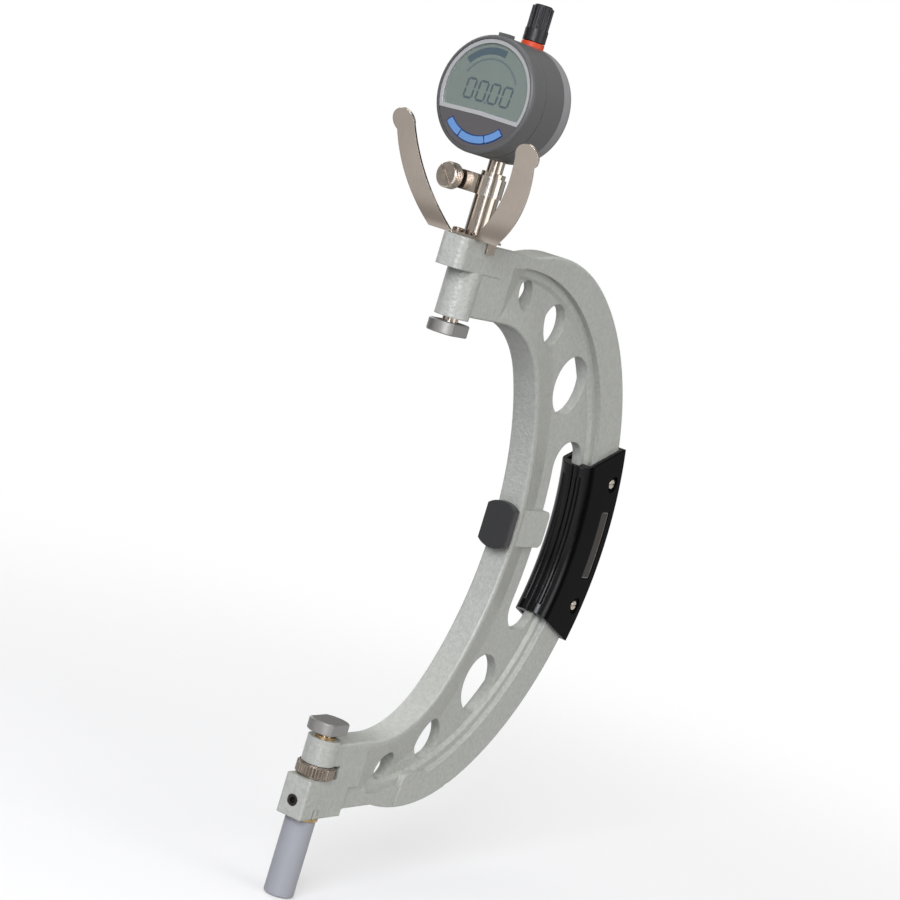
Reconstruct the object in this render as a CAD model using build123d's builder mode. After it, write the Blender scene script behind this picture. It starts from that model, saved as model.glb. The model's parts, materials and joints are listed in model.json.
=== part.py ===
from build123d import *
from math import acos, asin, atan2, cos, degrees, radians, sin, sqrt
import os

# A large snap gauge: a cast C-frame, a sprung anvil above, an adjustable anvil below,
# a grip on the back of the frame and a digital indicator in a split sleeve on top.
# Millimetres. Z runs up the measuring axis, X runs from that axis to the grip, and the
# origin is the middle of the measuring opening, half way through the frame's thickness.

# Measuring opening and travel
opening = 200.0
adjust_travel = 25.0
retract_travel = 2.0

# Clearances
running = 0.03
seat_gap = 0.02
slot_gap = 0.2

# Slack for picking edges by place, and overrun of a bore past its mouth
pick_slack = 0.01
bore_lead = 1.0

# Cast frame
frame_thick = 15.0
web_thick = 5.4
outer_centre_x = 63.7
outer_radius = 154.0
shoulder_radius = 117.5
shoulder_drop = 4.1
neck_x = 52.0
inner_centre_x = -30.1
inner_radius = 146.7
throat_radius = 62.0
upper_underside = 110.5
lower_topside = 110.8
rim_centre_x = 52.0
rim_width = 13.7
rim_depth = 3.0
rim_foot = 6.1
rib_land = 3.0
rib_slope = 20.0
pocket_end_x = 33.0
pocket_end_slope = 17.0
edge_round = 1.2

# Round holes of the web: angle about the outer arc, distance inside that arc, radius
hole_places = [(92.04, 27.32, 7.9), (73.19, 34.70, 11.5), (49.27, 42.89, 16.4)]

# Finger slot through the web
slot_inner_radius = 180.0
slot_inset = 23.5
slot_half_height = 54.0
slot_corner_share = 0.445

# Lowered face beside the lower block, and the nose where the rim widens behind it
pad_top = -135.0
pad_step = 0.8
nose_start_x = 77.0
nose_end_x = 100.0
nose_top = -131.0
nose_bottom = -141.0
nose_corner = 6.0

# Upper head
head_front = 19.5
head_back = 12.5
head_corner = 4.0
head_top = 148.1
head_bottom = 132.4
boss_radius = 8.7
boss_bottom = 108.6
upper_bush_radius = 5.5
upper_bush_length = 18.0
seam_start = 5.0
seam_end = 21.4
seam_height = 0.5
seam_depth = 0.3

# Lower head
lower_boss_radius = 8.5
lower_boss_top = -109.2
nut_top = -122.6
nut_height = 6.6
nut_radius = 10.0
nut_grooves = 36
nut_groove = 0.8
nut_edge = 0.8
block_front = 13.0
block_back = 24.0
block_bottom = -149.8
bush_flange_radius = 5.6
bush_flange = 1.1
lower_bush_radius = 5.1
tube_radius = 7.75
tube_bore = 5.4
tube_bottom = -192.0
tube_seat = 4.6
ring_width = 0.7
ring_height = 1.4
cap_height = 2.0

# Anvils and spindles
spindle_radius = 4.0
anvil_radius = 10.5
anvil_flat = 7.5
anvil_thick = 6.3
anvil_edge = 0.5
anvil_socket = 3.0
upper_spindle_top = 136.0
tube_floor_gap = 1.5
key_radius = 1.25
keyway_width = 2.6
keyway_depth = 1.0
upper_key_z = 118.0
lower_key_z = -137.0
lock_screw_z = -141.5
lock_screw_radius = 3.0
lock_screw_length = 6.0
hex_key = 3.0
hex_depth = 2.8
shoe_radius = 2.9
shoe_length = 2.2

# Back stop
stop_z = 4.8
stop_boss_height = 20.4
stop_boss_reach = 151.6
stop_boss_half = 6.6
stop_boss_round = 4.0
stop_pad_radius = 13.0
stop_pad_flat = 8.6
stop_pad_thick = 5.2
stop_pad_gap = 4.0
stop_stem_radius = 4.0
stop_stem_in = 30.0
stop_travel = 20.0
stop_screw_radius = 2.5
stop_hex = 2.5
stop_hex_depth = 1.4
stop_pad_edge = 0.6
stop_pad_socket = 2.2

# Grip
grip_turn = -0.75
grip_half_angle = 21.2
grip_nose_depth = 37.6
grip_outer_wall = 2.6
grip_half_thick = 10.2
grip_nose_round = 8.0
grip_back_round = 3.0
grip_gap = 0.15
grip_parting = 0.06
grip_flute_radius = 1.5
grip_flute_y = 4.4
grip_screw_radius = 1.9
grip_screw_inset = 6.2
grip_screw_angle = 14.05
grip_head_radius = 2.8
grip_head_height = 1.3
grip_counterbore = 4.8
grip_counter_depth = 1.8
grip_head_round = 0.5
grip_nut_flats = 5.5
screw_slot = 0.8
grip_flute_end = 3.0
label_inset = 7.3
label_width = 8.8
label_half_angle = 7.7
label_depth = 0.5

# Sleeve and clamp strap on the upper head
sleeve_radius = 6.0
sleeve_bore = 4.0
sleeve_top = 181.0
sleeve_seat = 9.3
sleeve_slit = 0.8
sleeve_slit_length = 20.0
strap_thick = 0.9
strap_height = 9.6
strap_top = 178.7
strap_angle = 80.0
strap_reach = 25.5
strap_gap = 1.6
strap_round = 2.6
thumb_screw_reach = 22.0
thumb_screw_radius = 1.9
thumb_head_radius = 6.6
thumb_head_height = 5.5
thumb_edge = 0.7
thumb_collar = 1.6
thumb_slot = 1.5
thumb_slot_depth = 1.5
thumb_slot_turn = -45.0
thumb_nut_height = 2.4
thumb_nut_side = 6.4

# Guard bracket that reaches round the indicator's lower half
guard_thick = 1.2
guard_front = 12.5
guard_back = 12.0
guard_half_width = 8.8
guard_front_depth = 5.0
guard_front_half = 16.2
guard_lean = 27.8
guard_foot = (6.0, 19.6)
guard_waist = (21.0, 33.0)
guard_waist_up = (22.4, 20.4)
guard_end = (28.9, 39.0)
guard_end_up = (49.4, 44.9)
guard_tip = (34.3, 56.5)
guard_tab_start = 0.3
guard_tab_width = 6.9
guard_tab_drop = 5.5
guard_screw_radius = 1.6
guard_screw_head = 3.0
guard_screw_head_height = 2.0
guard_screw_round = 0.6
guard_screw_length = 5.0
guard_screw_x = -8.2
guard_screw_y = 5.2

# Digital indicator, turned a little in its sleeve
facing_turn = 6.5
case_radius = 28.6
case_centre_z = 215.3
case_front = 26.0
case_joint = 15.0
case_back = 9.4
case_round = 2.0
cover_round = 5.0
case_wall = 2.2
case_gap = 0.3
hub_radius = 9.0
hub_ring_radius = 12.0
hub_ring_thick = 1.2
neck_block = 14.0
stem_radius = 4.0
stem_bottom = 158.0
stem_seat = 12.0
face_radius = 26.6
face_depth = 3.0
face_sink = 0.8
face_gap = 0.1
display_low = -11.0
display_peak = 0.8
display_border = 2.0
window_sink = 0.4
window_thick = 1.0
panel_thick = 0.8
hollow_radius = 22.0
button_inner = 20.3
button_outer = 23.7
button_places = {"left": (-135.0, -111.0), "middle": (-109.0, -71.0), "right": (-69.0, -45.0)}
button_stand = 0.5
button_travel = 0.4
button_gap = 0.15
button_round = 0.5
tab_width = 6.0
tab_depth = 5.0
tab_height = 1.4
board_thick = 1.2
battery_radius = 10.0
battery_thick = 3.2
plunger_radius = 2.0
contact_radius = 2.4
contact_height = 7.0
contact_round = 1.6
contact_socket = 3.0
top_bush_radius = 3.6
seal_radius = 5.7
seal_height = 3.0
seal_seat = 0.8
knob_skirt_height = 6.0
knob_radius = 4.9
knob_top_radius = 4.5
knob_height = 17.9
knob_lift = 0.3
knob_ribs = 14
knob_rib_radius = 0.5
knob_plunger_in = 12.0
cover_screw_radius = 1.2
cover_screw_head = 2.1
cover_screw_head_height = 1.2
cover_screw_ring = 22.4
cover_post_radius = 3.2
cover_screw_depth = 5.0

# Values worked out from those above
half_thick = frame_thick / 2
half_web = web_thick / 2
anvil_face = opening / 2
anvil_back = anvil_face + anvil_thick
nut_bottom = nut_top - nut_height
rim_inner_radius = outer_radius - rim_width
rim_floor_radius = rim_inner_radius - rim_foot
slot_outer_radius = outer_radius - slot_inset
grip_nose_radius = outer_radius - grip_nose_depth
grip_screw_ring = outer_radius - grip_screw_inset
label_ring = outer_radius - label_inset
shoulder_top = outer_radius - shoulder_drop
shoulder_offset = outer_radius - shoulder_radius
shoulder_z = shoulder_top - shoulder_radius
shoulder_x = outer_centre_x + sqrt(shoulder_offset**2 - shoulder_z**2)
shoulder_angle = degrees(atan2(shoulder_z, shoulder_x - outer_centre_x))
neck_angle = degrees(acos((neck_x - shoulder_x) / shoulder_radius))
neck_top = shoulder_z + shoulder_radius * sin(radians(neck_angle))


def throat_centre(level):
    """Centre of the corner arc that meets the inner arc and a flat at this level."""
    z = level - throat_radius
    x = inner_centre_x + sqrt((inner_radius - throat_radius) ** 2 - z**2)
    return x, z


def throat_angle(level):
    """Angle at which that corner arc runs into the inner arc."""
    x, z = throat_centre(level)
    return degrees(atan2(z, x - inner_centre_x))


def pocket_outline(inset, end_x, rim_radius):
    """Outline of the recess between the rib along the throat and the raised rim."""
    top_x, top_z = throat_centre(upper_underside)
    low_x, low_z = throat_centre(lower_topside)
    top_angle = throat_angle(upper_underside)
    low_angle = throat_angle(lower_topside)
    corner = throat_radius + inset
    rim_end = degrees(acos((end_x - rim_centre_x) / rim_radius))
    top_end = degrees(acos((end_x - top_x) / corner))
    low_end = degrees(acos((end_x - low_x) / corner))
    with BuildSketch(mode=Mode.PRIVATE) as outline:
        with BuildLine():
            rim = CenterArc((rim_centre_x, 0), rim_radius, -rim_end, 2 * rim_end)
            top = CenterArc((top_x, top_z), corner, top_angle, top_end - top_angle)
            CenterArc(
                (inner_centre_x, 0), inner_radius + inset, -low_angle, top_angle + low_angle
            )
            low = CenterArc((low_x, -low_z), corner, -low_end, low_end - low_angle)
            Line(rim @ 1, top @ 1)
            Line(rim @ 0, low @ 0)
        make_face()
    return outline.sketch


def hex_radius(across_flats):
    """Corner radius of a hexagon with this width across flats."""
    return across_flats / 2 / cos(radians(30))


def save(piece, name):
    """Label a finished piece and write it to its own file."""
    piece.part.label = name
    export_step(piece.part, f"parts/{name}.step")


def on_arc(angle, ring):
    """Place on a circle round the centre of the frame's outer arc."""
    turn = radians(angle)
    return outer_centre_x + ring * cos(turn), ring * sin(turn)


def ahead_of_stem(distance):
    """Plane parallel to the indicator's face, this far in front of its stem."""
    turn = radians(180 - facing_turn)
    out = Vector(cos(turn), sin(turn), 0)
    origin = Vector(0, 0, case_centre_z) + out * distance
    return Plane(origin=origin, x_dir=Vector(0, 0, 1).cross(out), z_dir=out)


grip_holes = [on_arc(grip_turn + turn * grip_screw_angle, grip_screw_ring) for turn in (1, -1)]
web_holes = [(*on_arc(angle, outer_radius - inset), radius) for angle, inset, radius in hole_places]
guard_holes = [(guard_screw_x, turn * guard_screw_y) for turn in (1, -1)]
os.makedirs("parts", exist_ok=True)


# Cast frame
with BuildPart() as frame:
    top_x, top_z = throat_centre(upper_underside)
    low_x, low_z = throat_centre(lower_topside)
    top_angle = throat_angle(upper_underside)
    low_angle = throat_angle(lower_topside)
    with BuildSketch(Plane.XZ):
        with BuildLine():
            CenterArc((outer_centre_x, 0), outer_radius, -shoulder_angle, 2 * shoulder_angle)
            upper = CenterArc(
                (shoulder_x, shoulder_z), shoulder_radius, shoulder_angle, neck_angle - shoulder_angle
            )
            lower = CenterArc(
                (shoulder_x, -shoulder_z), shoulder_radius, -neck_angle, neck_angle - shoulder_angle
            )
            Polyline(
                upper @ 1, (0, neck_top), (0, upper_underside), (top_x, upper_underside)
            )
            CenterArc((top_x, top_z), throat_radius, top_angle, 90 - top_angle)
            CenterArc((inner_centre_x, 0), inner_radius, -low_angle, top_angle + low_angle)
            CenterArc((low_x, -low_z), throat_radius, -90, 90 - low_angle)
            Polyline(
                (low_x, -lower_topside), (0, -lower_topside), (0, -neck_top), lower @ 0
            )
        make_face()
    extrude(amount=half_thick, both=True)
    outer_edges = frame.edges().filter_by(
        lambda e: e.geom_type == GeomType.CIRCLE and abs(abs(e.center().Y) - half_thick) < pick_slack
    )
    fillet(outer_edges, radius=edge_round)
    # Recess on both sides: a steep wall at the rim, a long slope from the throat
    foot_share = rim_depth / (half_thick - half_web)
    foot_land = rib_land + foot_share * rib_slope + edge_round
    foot_end_x = pocket_end_x + foot_share * pocket_end_slope + edge_round
    for side in (-1, 1):
        cheek_plane = Plane.XZ.offset(side * half_thick)
        web_plane = Plane.XZ.offset(side * half_web)
        with BuildSketch(cheek_plane):
            add(pocket_outline(rib_land, pocket_end_x, rim_inner_radius))
        with BuildSketch(web_plane):
            add(
                pocket_outline(
                    rib_land + rib_slope, pocket_end_x + pocket_end_slope, rim_floor_radius
                )
            )
        loft(ruled=True, mode=Mode.SUBTRACT)
        with BuildSketch(cheek_plane):
            add(pocket_outline(foot_land, foot_end_x, rim_inner_radius))
        extrude(amount=-side * rim_depth, mode=Mode.SUBTRACT)
        # Lowered face beside the lower block
        with BuildSketch(cheek_plane):
            with Locations(((block_back + nose_start_x) / 2, pad_top + block_bottom / 2)):
                Rectangle(nose_start_x - block_back, -block_bottom)
        extrude(amount=-side * pad_step, mode=Mode.SUBTRACT)
        # Nose where the rim widens again
        with BuildSketch(cheek_plane):
            with Locations(((nose_start_x + nose_end_x) / 2, (nose_top + nose_bottom) / 2)):
                Rectangle(nose_end_x - nose_start_x, nose_top - nose_bottom)
            nose_vertex = vertices().sort_by(lambda v: v.X - v.Y)[0]
            fillet(nose_vertex, radius=nose_corner)
        extrude(amount=-side * (half_thick - half_web))
    with BuildSketch(Plane.XZ):
        for hole_x, hole_z, hole_r in web_holes:
            with Locations((hole_x, hole_z), (hole_x, -hole_z)):
                Circle(hole_r)
    extrude(amount=frame_thick, both=True, mode=Mode.SUBTRACT)
    slot_near = inner_centre_x + sqrt(slot_inner_radius**2 - slot_half_height**2)
    slot_far = rim_centre_x + sqrt(slot_outer_radius**2 - slot_half_height**2)
    with BuildSketch(Plane.XZ):
        with BuildLine():
            reach_in = degrees(asin(slot_half_height / slot_inner_radius))
            reach_out = degrees(asin(slot_half_height / slot_outer_radius))
            near = CenterArc((inner_centre_x, 0), slot_inner_radius, -reach_in, 2 * reach_in)
            far = CenterArc((rim_centre_x, 0), slot_outer_radius, -reach_out, 2 * reach_out)
            Line(near @ 0, far @ 0)
            Line(near @ 1, far @ 1)
        make_face()
        fillet(vertices(), radius=slot_corner_share * (slot_far - slot_near))
    extrude(amount=frame_thick, both=True, mode=Mode.SUBTRACT)
    # Boss that carries the back stop
    boss_start = inner_centre_x + inner_radius + rib_land
    with BuildSketch(Plane.XZ):
        with Locations(((boss_start + stop_boss_reach) / 2, stop_z)):
            RectangleRounded(stop_boss_reach - boss_start, stop_boss_height, stop_boss_round)
    extrude(amount=stop_boss_half, both=True)
    # Upper head, flush with the frame's sides, with the casting line under it
    with BuildSketch(Plane.XY.offset(head_bottom)):
        with Locations(((head_back - head_front) / 2, 0)):
            RectangleRounded(head_front + head_back, frame_thick, head_corner)
    extrude(amount=head_top - head_bottom)
    for side in (-1, 1):
        with BuildSketch(Plane.XZ.offset(side * half_thick)):
            with Locations(((seam_start + seam_end) / 2, head_bottom - seam_height / 2)):
                Rectangle(seam_end - seam_start, seam_height)
        extrude(amount=-side * seam_depth, mode=Mode.SUBTRACT)
    with BuildSketch(Plane.XY.offset(boss_bottom)):
        Circle(boss_radius)
    extrude(amount=head_bottom - boss_bottom)
    # Lower head: round boss above the nut, flat-fronted block below it
    with BuildSketch(Plane.XY.offset(nut_top)):
        Circle(lower_boss_radius)
    extrude(amount=lower_boss_top - nut_top)
    with BuildSketch(Plane.XY.offset(block_bottom)):
        with Locations(((block_back - block_front) / 2, 0)):
            RectangleRounded(block_front + block_back, frame_thick, edge_round)
    extrude(amount=nut_bottom - block_bottom)
    with BuildSketch(Plane.XY.offset(nut_bottom - slot_gap)):
        with Locations((-block_front / 2, 0)):
            Rectangle(2 * nut_radius + block_front + 2 * slot_gap, 4 * nut_radius)
    extrude(amount=nut_height + 2 * slot_gap, mode=Mode.SUBTRACT)
    # Bores
    with BuildSketch(Plane.XY.offset(boss_bottom)):
        Circle(upper_bush_radius + seat_gap)
    extrude(amount=upper_bush_length, mode=Mode.SUBTRACT)
    with BuildSketch(Plane.XY.offset(boss_bottom)):
        Circle(spindle_radius + 4 * running)
    extrude(amount=head_top - boss_bottom, mode=Mode.SUBTRACT)
    with BuildSketch(Plane.XY.offset(head_top - sleeve_seat)):
        Circle(sleeve_radius + seat_gap)
    extrude(amount=sleeve_seat, mode=Mode.SUBTRACT)
    with BuildSketch(Plane.XY.offset(nut_top + slot_gap)):
        Circle(lower_bush_radius + seat_gap)
    extrude(amount=lower_boss_top - nut_top, mode=Mode.SUBTRACT)
    with BuildSketch(Plane.XY.offset(block_bottom)):
        Circle(spindle_radius + running)
    extrude(amount=nut_bottom - block_bottom, mode=Mode.SUBTRACT)
    with BuildSketch(Plane.XY.offset(block_bottom)):
        Circle(tube_radius + seat_gap)
    extrude(amount=tube_seat, mode=Mode.SUBTRACT)
    # Cross holes: anti-turn pins, spindle lock screw, back stop and its lock screw
    with BuildSketch(Plane.XZ.offset(-boss_radius)):
        with Locations((0, upper_key_z)):
            Circle(key_radius + seat_gap)
    extrude(amount=boss_radius, mode=Mode.SUBTRACT)
    with BuildSketch(Plane.XZ.offset(-half_thick)):
        with Locations((0, lower_key_z)):
            Circle(key_radius + seat_gap)
    extrude(amount=half_thick, mode=Mode.SUBTRACT)
    with BuildSketch(Plane.YZ.offset(-block_front)):
        with Locations((0, lock_screw_z)):
            Circle(lock_screw_radius + running)
    extrude(amount=block_front, mode=Mode.SUBTRACT)
    with BuildSketch(Plane.YZ.offset(inner_centre_x + inner_radius - bore_lead)):
        with Locations((0, stop_z)):
            Circle(stop_stem_radius + running)
    extrude(amount=stop_stem_in + 2 * bore_lead, mode=Mode.SUBTRACT)
    lock_x = inner_centre_x + inner_radius + stop_stem_in / 5
    with BuildSketch(Plane.XZ.offset(-stop_stem_radius / 2)):
        with Locations((lock_x, stop_z)):
            Circle(stop_screw_radius + running)
    extrude(amount=-frame_thick, mode=Mode.SUBTRACT)
    # Grip screws pass through the rim
    with BuildSketch(Plane.XZ):
        with Locations(grip_holes):
            Circle(grip_screw_radius + slot_gap)
    extrude(amount=half_thick, both=True, mode=Mode.SUBTRACT)
    # Tapped holes for the guard's screws
    with BuildSketch(Plane.XY.offset(head_top - guard_screw_length)):
        with Locations(guard_holes):
            Circle(guard_screw_radius + seat_gap)
    extrude(amount=guard_screw_length, mode=Mode.SUBTRACT)
save(frame, "frame")

# Brass guide bush at the top of the lower head
with BuildPart() as lower_bush:
    with BuildSketch(Plane.XY.offset(nut_top + slot_gap)):
        Circle(lower_bush_radius)
    extrude(amount=lower_boss_top - nut_top - slot_gap)
    with BuildSketch(Plane.XY.offset(lower_boss_top)):
        Circle(bush_flange_radius)
    extrude(amount=bush_flange)
    with BuildSketch(Plane.XY.offset(nut_top)):
        Circle(spindle_radius + running)
    extrude(amount=lower_boss_top - nut_top + 2 * bush_flange, mode=Mode.SUBTRACT)
save(lower_bush, "lower_bush")

# Guide bush of the sprung spindle
with BuildPart() as upper_bush:
    with BuildSketch(Plane.XY.offset(boss_bottom)):
        Circle(upper_bush_radius)
        Circle(spindle_radius + running, mode=Mode.SUBTRACT)
    extrude(amount=upper_bush_length)
    with BuildSketch(Plane.XZ.offset(-boss_radius)):
        with Locations((0, upper_key_z)):
            Circle(key_radius + seat_gap)
    extrude(amount=boss_radius, mode=Mode.SUBTRACT)
save(upper_bush, "upper_bush")

# Pins that keep both spindles from turning
key_tip = spindle_radius - keyway_depth + 2 * running
with BuildPart() as upper_key:
    with BuildSketch(Plane.XZ.offset(-(boss_radius - slot_gap))):
        with Locations((0, upper_key_z)):
            Circle(key_radius)
    extrude(amount=boss_radius - slot_gap - key_tip)
save(upper_key, "upper_key")

with BuildPart() as lower_key:
    with BuildSketch(Plane.XZ.offset(-(half_thick - slot_gap))):
        with Locations((0, lower_key_z)):
            Circle(key_radius)
    extrude(amount=half_thick - slot_gap - key_tip)
save(lower_key, "lower_key")

# Sprung upper spindle and its anvil
socket_face = anvil_back - anvil_socket
keyway_slack = key_radius + 2 * slot_gap
with BuildPart() as upper_spindle:
    with BuildSketch(Plane.XY.offset(socket_face)):
        Circle(spindle_radius)
    extrude(amount=upper_spindle_top - socket_face)
    fillet(upper_spindle.edges().group_by(Axis.Z)[-1], radius=anvil_edge)
    keyway_low = upper_key_z - keyway_slack - retract_travel
    keyway_high = upper_key_z + keyway_slack
    with BuildSketch(Plane.XZ.offset(-spindle_radius)):
        with Locations((0, (keyway_low + keyway_high) / 2)):
            Rectangle(keyway_width, keyway_high - keyway_low)
    extrude(amount=keyway_depth, mode=Mode.SUBTRACT)
save(upper_spindle, "upper_spindle")

with BuildPart() as upper_anvil:
    with BuildSketch(Plane.XY.offset(anvil_face)):
        Circle(anvil_radius)
        Rectangle(2 * anvil_radius, 2 * anvil_flat, mode=Mode.INTERSECT)
    extrude(amount=anvil_thick)
    chamfer(upper_anvil.faces().filter_by(Axis.Z).edges(), length=anvil_edge)
    with BuildSketch(Plane.XY.offset(socket_face)):
        Circle(spindle_radius + seat_gap)
    extrude(amount=anvil_socket, mode=Mode.SUBTRACT)
save(upper_anvil, "upper_anvil")

# Lower spindle, raised and lowered by the nut
spindle_foot = tube_bottom + cap_height + tube_floor_gap
with BuildPart() as lower_spindle:
    with BuildSketch(Plane.XY.offset(spindle_foot)):
        Circle(spindle_radius)
    extrude(amount=-socket_face - spindle_foot)
    chamfer(lower_spindle.edges().group_by(Axis.Z)[0], length=anvil_edge)
    keyway_low = lower_key_z - keyway_slack - adjust_travel
    keyway_high = lower_key_z + keyway_slack
    with BuildSketch(Plane.XZ.offset(-spindle_radius)):
        with Locations((0, (keyway_low + keyway_high) / 2)):
            Rectangle(keyway_width, keyway_high - keyway_low)
    extrude(amount=keyway_depth, mode=Mode.SUBTRACT)
save(lower_spindle, "lower_spindle")

with BuildPart() as lower_anvil:
    with BuildSketch(Plane.XY.offset(-anvil_back)):
        Circle(anvil_radius)
        Rectangle(2 * anvil_radius, 2 * anvil_flat, mode=Mode.INTERSECT)
    extrude(amount=anvil_thick)
    chamfer(lower_anvil.faces().filter_by(Axis.Z).edges(), length=anvil_edge)
    with BuildSketch(Plane.XY.offset(-anvil_back)):
        Circle(spindle_radius + seat_gap)
    extrude(amount=anvil_socket, mode=Mode.SUBTRACT)
save(lower_anvil, "lower_anvil")

# Knurled adjusting nut in the cross slot of the lower head
with BuildPart() as adjusting_nut:
    with BuildSketch(Plane.XY.offset(nut_bottom)):
        Circle(nut_radius)
        with PolarLocations(nut_radius, nut_grooves):
            Rectangle(nut_groove, nut_groove, rotation=45, mode=Mode.SUBTRACT)
    extrude(amount=nut_height)
    with BuildSketch(Plane.XY.offset(nut_bottom)):
        Circle(nut_radius)
        Circle(nut_radius - nut_edge, mode=Mode.SUBTRACT)
    extrude(amount=nut_edge, mode=Mode.SUBTRACT)
    with BuildSketch(Plane.XY.offset(nut_top)):
        Circle(nut_radius)
        Circle(nut_radius - nut_edge, mode=Mode.SUBTRACT)
    extrude(amount=-nut_edge, mode=Mode.SUBTRACT)
    with BuildSketch(Plane.XY.offset(nut_bottom)):
        Circle(spindle_radius + running)
    extrude(amount=nut_height, mode=Mode.SUBTRACT)
save(adjusting_nut, "adjusting_nut")

# Socket set screw and brass shoe that lock the lower spindle
shoe_face = spindle_radius + 2 * running
with BuildPart() as lock_shoe:
    with BuildSketch(Plane.YZ.offset(-shoe_face - shoe_length)):
        with Locations((0, lock_screw_z)):
            Circle(shoe_radius)
    extrude(amount=shoe_length)
save(lock_shoe, "lock_shoe")

with BuildPart() as lock_screw:
    screw_face = -block_front + slot_gap
    screw_tip = -shoe_face - shoe_length - 2 * running
    with BuildSketch(Plane.YZ.offset(screw_face)):
        with Locations((0, lock_screw_z)):
            Circle(lock_screw_radius)
    extrude(amount=screw_tip - screw_face)
    with BuildSketch(Plane.YZ.offset(screw_face)):
        with Locations((0, lock_screw_z)):
            RegularPolygon(hex_radius(hex_key), 6)
    extrude(amount=hex_depth, mode=Mode.SUBTRACT)
save(lock_screw, "lock_screw")

# Cover tube under the lower head
with BuildPart() as cover_tube:
    with BuildSketch(Plane.XY.offset(tube_bottom)):
        Circle(tube_radius)
        Circle(tube_bore, mode=Mode.SUBTRACT)
    extrude(amount=block_bottom + tube_seat - tube_bottom)
    chamfer(cover_tube.edges().group_by(Axis.Z)[0].sort_by(SortBy.RADIUS)[-1], length=anvil_edge)
save(cover_tube, "cover_tube")

with BuildPart() as tube_ring:
    with BuildSketch(Plane.XY.offset(block_bottom)):
        Circle(tube_radius + ring_width)
        Circle(tube_radius + seat_gap, mode=Mode.SUBTRACT)
    extrude(amount=-ring_height)
save(tube_ring, "tube_ring")

with BuildPart() as tube_cap:
    with BuildSketch(Plane.XY.offset(tube_bottom)):
        Circle(tube_bore - seat_gap)
    extrude(amount=cap_height)
save(tube_cap, "tube_cap")

# Back stop: a pad on a round stem that slides in the boss of the frame
inner_edge_x = inner_centre_x + sqrt(inner_radius**2 - stop_z**2)
pad_back = inner_edge_x - stop_pad_gap
with BuildPart() as stop_pad:
    with BuildSketch(Plane.YZ.offset(pad_back - stop_pad_thick)):
        with Locations((0, stop_z)):
            Circle(stop_pad_radius)
            Rectangle(2 * stop_pad_flat, 2 * stop_pad_radius, mode=Mode.INTERSECT)
    extrude(amount=stop_pad_thick)
    fillet(stop_pad.faces().sort_by(Axis.X)[0].edges(), radius=stop_pad_edge)
    with BuildSketch(Plane.YZ.offset(pad_back)):
        with Locations((0, stop_z)):
            Circle(stop_stem_radius + seat_gap)
    extrude(amount=-stop_pad_socket, mode=Mode.SUBTRACT)
save(stop_pad, "stop_pad")

with BuildPart() as stop_stem:
    with BuildSketch(Plane.YZ.offset(pad_back - stop_pad_socket)):
        with Locations((0, stop_z)):
            Circle(stop_stem_radius)
    extrude(amount=inner_edge_x + stop_stem_in - pad_back + stop_pad_socket)
    chamfer(stop_stem.edges().group_by(Axis.X)[-1], length=anvil_edge)
save(stop_stem, "stop_stem")

with BuildPart() as stop_screw:
    with BuildSketch(Plane.XZ.offset(-(stop_boss_half - slot_gap))):
        with Locations((lock_x, stop_z)):
            Circle(stop_screw_radius)
    extrude(amount=stop_boss_half - slot_gap - stop_stem_radius - 2 * running)
    with BuildSketch(Plane.XZ.offset(-(stop_boss_half - slot_gap))):
        with Locations((lock_x, stop_z)):
            RegularPolygon(hex_radius(stop_hex), 6)
    extrude(amount=stop_hex_depth, mode=Mode.SUBTRACT)
save(stop_screw, "stop_screw")

# Two grip halves, turned about the centre of the frame's outer arc
grip_axis = Axis((outer_centre_x, 0, 0), (0, 1, 0))
grip_back_radius = outer_radius + grip_outer_wall
rim_start = rim_centre_x + rim_floor_radius - outer_centre_x - slot_gap
web_start = rim_centre_x + slot_outer_radius - outer_centre_x - slot_gap


nose_ring = grip_nose_radius + grip_nose_round
flute_rise = sqrt(grip_nose_round**2 - (grip_flute_y - grip_half_thick + grip_nose_round) ** 2)


def ring_plane(angle):
    """Plane through the centre of the outer arc; its x runs outwards, its y along Y."""
    turn = radians(angle)
    return Plane(
        origin=(outer_centre_x, 0, 0), x_dir=(cos(turn), 0, sin(turn)), z_dir=(-sin(turn), 0, cos(turn))
    )


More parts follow.
